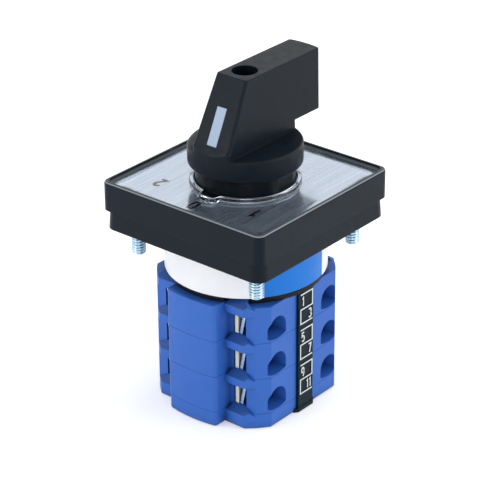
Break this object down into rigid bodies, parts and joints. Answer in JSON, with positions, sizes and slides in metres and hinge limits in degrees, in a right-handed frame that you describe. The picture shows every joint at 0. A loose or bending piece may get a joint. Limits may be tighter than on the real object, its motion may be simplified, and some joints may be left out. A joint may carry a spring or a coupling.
{
  "type": "rotary cam switch",
  "caption": "Rotary cam switch for panel mounting with a lever handle, square dial, stacked contact stages, side terminals and threaded studs.",
  "frame": {"origin": "on the shaft axis in the plane of the base plate's back face, where the panel lies, and so the centre of the four studs", "axes": "+Z along the shaft towards the handle, the 0 mark of the dial towards -Y, the odd terminal numbers on the +X side"},
  "size_m": [0.048, 0.048, 0.0829],
  "materials": {
    "azure_plastic": "satin azure moulded",
    "black_plastic": "matt black moulded",
    "blue_plastic": "satin blue moulded",
    "clear_plastic": "clear moulded plastic",
    "contact_brass": "bare",
    "dark_plastic": "matt black moulded",
    "dial_aluminium": "fine brushed",
    "handle_plastic": "matt black moulded",
    "inner_plastic": "natural moulded",
    "pointer_white": "pale film",
    "shaft_steel": "zinc plated",
    "spring_steel": "bright wire",
    "strip_plastic": "matt black moulded",
    "terminal_brass": "nickel washed",
    "white_label": "white film",
    "zinc_steel": "bright zinc plated"
  },
  "bodies": {
    "switch_body": {"base_plate": "black_plastic", "bezel_frame": "black_plastic", "clamp_plates": "zinc_steel", "clear_cover": "clear_plastic", "contact_spring_11_12": "spring_steel", "contact_spring_1_2": "spring_steel", "contact_spring_3_4": "spring_steel", "contact_spring_5_6": "spring_steel", "contact_spring_7_8": "spring_steel", "contact_spring_9_10": "spring_steel", "detent_housing": "azure_plastic", "detent_spring_back": "spring_steel", "detent_spring_front": "spring_steel", "dial_plate": "dial_aluminium", "end_cap": "blue_plastic", "number_strip_even": "strip_plastic", "number_strip_odd": "strip_plastic", "panel_screws": "zinc_steel", "plate_screws": "zinc_steel", "rating_label": "white_label", "spacer_plate": "dark_plastic", "stage_housing_1": "blue_plastic", "stage_housing_2": "blue_plastic", "stage_housing_3": "blue_plastic", "terminal_01": "terminal_brass", "terminal_02": "terminal_brass", "terminal_03": "terminal_brass", "terminal_04": "terminal_brass", "terminal_05": "terminal_brass", "terminal_06": "terminal_brass", "terminal_07": "terminal_brass", "terminal_08": "terminal_brass", "terminal_09": "terminal_brass", "terminal_10": "terminal_brass", "terminal_11": "terminal_brass", "terminal_12": "terminal_brass", "terminal_screws": "zinc_steel", "tie_screws": "zinc_steel"},
    "rotor": {"handle": "handle_plastic", "pointer_inlay": "pointer_white", "handle_screw": "zinc_steel", "shaft": "shaft_steel", "star_wheel": "inner_plastic", "cam_1": "inner_plastic", "cam_2": "inner_plastic", "cam_3": "inner_plastic"},
    "contact_1_2": {"contact_slide_1_2": "inner_plastic", "contact_bridge_1_2": "contact_brass"},
    "contact_3_4": {"contact_slide_3_4": "inner_plastic", "contact_bridge_3_4": "contact_brass"},
    "contact_5_6": {"contact_slide_5_6": "inner_plastic", "contact_bridge_5_6": "contact_brass"},
    "contact_7_8": {"contact_slide_7_8": "inner_plastic", "contact_bridge_7_8": "contact_brass"},
    "contact_9_10": {"contact_slide_9_10": "inner_plastic", "contact_bridge_9_10": "contact_brass"},
    "contact_11_12": {"contact_slide_11_12": "inner_plastic", "contact_bridge_11_12": "contact_brass"},
    "detent_front": {"detent_slide_front": "inner_plastic"},
    "detent_back": {"detent_slide_back": "inner_plastic"}
  },
  "joints": [
    {"name": "handle_turn", "type": "hinge", "parent": "switch_body", "child": "rotor", "pos_m": [0, 0, 0], "axis": [0, 0, 1], "range_deg": [-45, 45]},
    {"name": "contact_1_2_travel", "type": "slide", "parent": "switch_body", "child": "contact_1_2", "axis": [0, 1, 0], "range_m": [-0.0016, 0.0016], "deforming": ["contact_spring_1_2"]},
    {"name": "contact_3_4_travel", "type": "slide", "parent": "switch_body", "child": "contact_3_4", "axis": [0, -1, 0], "range_m": [-0.0016, 0.0016], "deforming": ["contact_spring_3_4"]},
    {"name": "contact_5_6_travel", "type": "slide", "parent": "switch_body", "child": "contact_5_6", "axis": [0, 1, 0], "range_m": [-0.0016, 0.0016], "deforming": ["contact_spring_5_6"]},
    {"name": "contact_7_8_travel", "type": "slide", "parent": "switch_body", "child": "contact_7_8", "axis": [0, -1, 0], "range_m": [-0.0016, 0.0016], "deforming": ["contact_spring_7_8"]},
    {"name": "contact_9_10_travel", "type": "slide", "parent": "switch_body", "child": "contact_9_10", "axis": [0, 1, 0], "range_m": [-0.0016, 0.0016], "deforming": ["contact_spring_9_10"]},
    {"name": "contact_11_12_travel", "type": "slide", "parent": "switch_body", "child": "contact_11_12", "axis": [0, -1, 0], "range_m": [-0.0016, 0.0016], "deforming": ["contact_spring_11_12"]},
    {"name": "detent_front_travel", "type": "slide", "parent": "switch_body", "child": "detent_front", "axis": [0, -1, 0], "range_m": [0, 0.0009], "stiffness_N_per_m": 1500, "springref_m": -0.002, "deforming": ["detent_spring_front"]},
    {"name": "detent_back_travel", "type": "slide", "parent": "switch_body", "child": "detent_back", "axis": [0, 1, 0], "range_m": [0, 0.0009], "stiffness_N_per_m": 1500, "springref_m": -0.002, "deforming": ["detent_spring_back"]}
  ],
  "couplings": [
    {"joint": "contact_1_2_travel", "follows": "handle_turn", "m_per_rad": 0.002037},
    {"joint": "contact_3_4_travel", "follows": "handle_turn", "m_per_rad": -0.002037},
    {"joint": "contact_5_6_travel", "follows": "handle_turn", "m_per_rad": 0.002037},
    {"joint": "contact_7_8_travel", "follows": "handle_turn", "m_per_rad": -0.002037},
    {"joint": "contact_9_10_travel", "follows": "handle_turn", "m_per_rad": 0.002037},
    {"joint": "contact_11_12_travel", "follows": "handle_turn", "m_per_rad": -0.002037}
  ]
}
